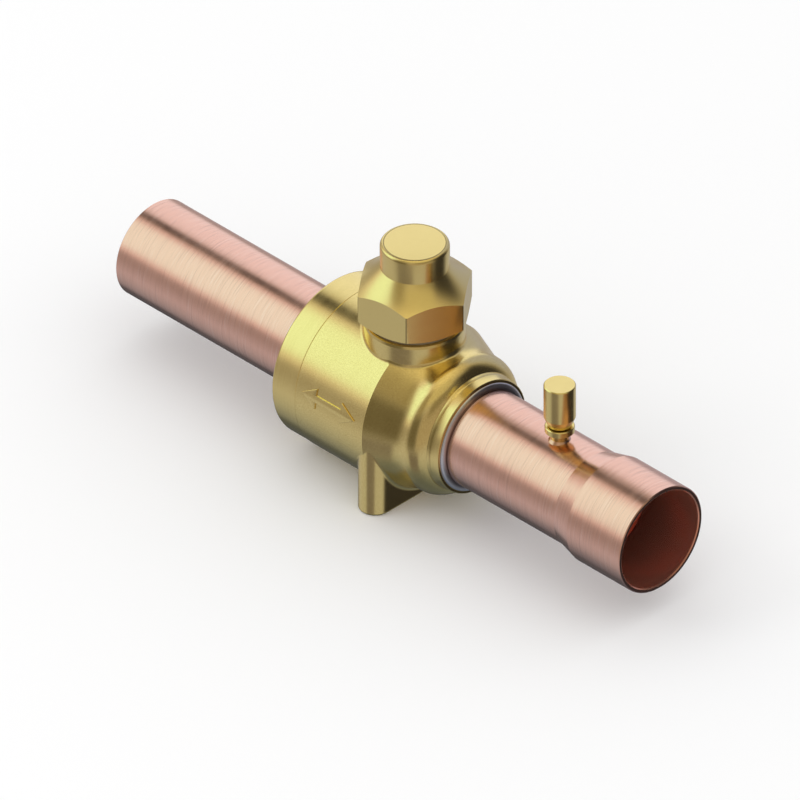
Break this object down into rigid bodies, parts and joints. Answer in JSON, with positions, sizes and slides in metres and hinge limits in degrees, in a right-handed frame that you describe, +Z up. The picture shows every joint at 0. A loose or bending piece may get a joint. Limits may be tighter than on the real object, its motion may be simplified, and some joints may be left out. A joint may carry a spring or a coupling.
{
  "type": "shut-off ball valve",
  "caption": "Brass shut-off ball valve for brazed copper refrigeration pipe, with a capped spindle, a mounting foot, a swaged outlet socket and a small capped access valve.",
  "frame": {"origin": "centre of the foot's flat face, below the pipe axis", "axes": "+X along the pipe, out of the outlet socket; +Z up along the spindle; +Y across the pipe"},
  "size_m": [0.2333, 0.0586, 0.0914],
  "materials": {
    "forged_brass": "satin, shot-blasted",
    "turned_brass": "satin, fine turned",
    "copper": "satin, lightly brushed",
    "braze": "satin",
    "ball_plating": "polished",
    "spindle_steel": "turned",
    "seat_plastic": "matte",
    "seal_rubber": "matte",
    "gasket_fibre": "matte"
  },
  "bodies": {
    "valve": {"valve_body": "forged_brass", "end_closure": "turned_brass", "inlet_seat": "seat_plastic", "outlet_seat": "seat_plastic", "inlet_seat_ring": "seal_rubber", "outlet_seat_ring": "seal_rubber", "spindle_packing": "seat_plastic", "gland_nut": "turned_brass", "inlet_tube": "copper", "outlet_tube": "copper", "inlet_braze": "braze", "outlet_braze": "braze", "access_stub": "turned_brass", "access_braze": "copper", "access_core": "turned_brass", "access_core_spring": "spindle_steel"},
    "ball": {"ball": "ball_plating"},
    "spindle": {"spindle": "spindle_steel", "thrust_washer": "seat_plastic", "spindle_o_ring_lower": "seal_rubber", "spindle_o_ring_upper": "seal_rubber", "stop_pin": "spindle_steel"},
    "cap_lift": {"cap_gasket": "gasket_fibre"},
    "seal_cap": {"seal_cap": "turned_brass"},
    "access_lift": {"access_cap_gasket": "seal_rubber"},
    "access_cap": {"access_cap": "turned_brass"},
    "core_pin": {"access_core_pin": "spindle_steel", "access_core_seal": "seal_rubber"}
  },
  "joints": [
    {"name": "spindle_turn", "type": "hinge", "parent": "valve", "child": "spindle", "pos_m": [-0.0048, 0, 0.0294], "axis": [0, 0, -1], "range_deg": [0, 90]},
    {"name": "ball_turn", "type": "hinge", "parent": "valve", "child": "ball", "pos_m": [-0.0048, 0, 0.0294], "axis": [0, 0, -1], "range_deg": [0, 90]},
    {"name": "seal_cap_lift", "type": "slide", "parent": "valve", "child": "cap_lift", "axis": [0, 0, 1], "range_m": [0, 0.0106]},
    {"name": "seal_cap_turn", "type": "hinge", "parent": "cap_lift", "child": "seal_cap", "pos_m": [-0.0048, 0, 0.0294], "axis": [0, 0, 1], "range_deg": [0, 2520]},
    {"name": "access_cap_lift", "type": "slide", "parent": "valve", "child": "access_lift", "axis": [0, 0, 1], "range_m": [0, 0.0089]},
    {"name": "access_cap_turn", "type": "hinge", "parent": "access_lift", "child": "access_cap", "pos_m": [0.0618, 0, 0.0294], "axis": [0, 0, 1], "range_deg": [0, 3960]},
    {"name": "core_press", "type": "slide", "parent": "valve", "child": "core_pin", "axis": [0, 0, -1], "range_m": [0, 0.0012], "stiffness_N_per_m": 400, "springref_m": -0.002, "deforming": ["access_core_spring"]}
  ],
  "couplings": [
    {"joint": "ball_turn", "follows": "spindle_turn", "ratio": 1},
    {"joint": "seal_cap_lift", "follows": "seal_cap_turn", "m_per_rad": 0.00023873},
    {"joint": "access_cap_lift", "follows": "access_cap_turn", "m_per_rad": 0.00012732}
  ]
}
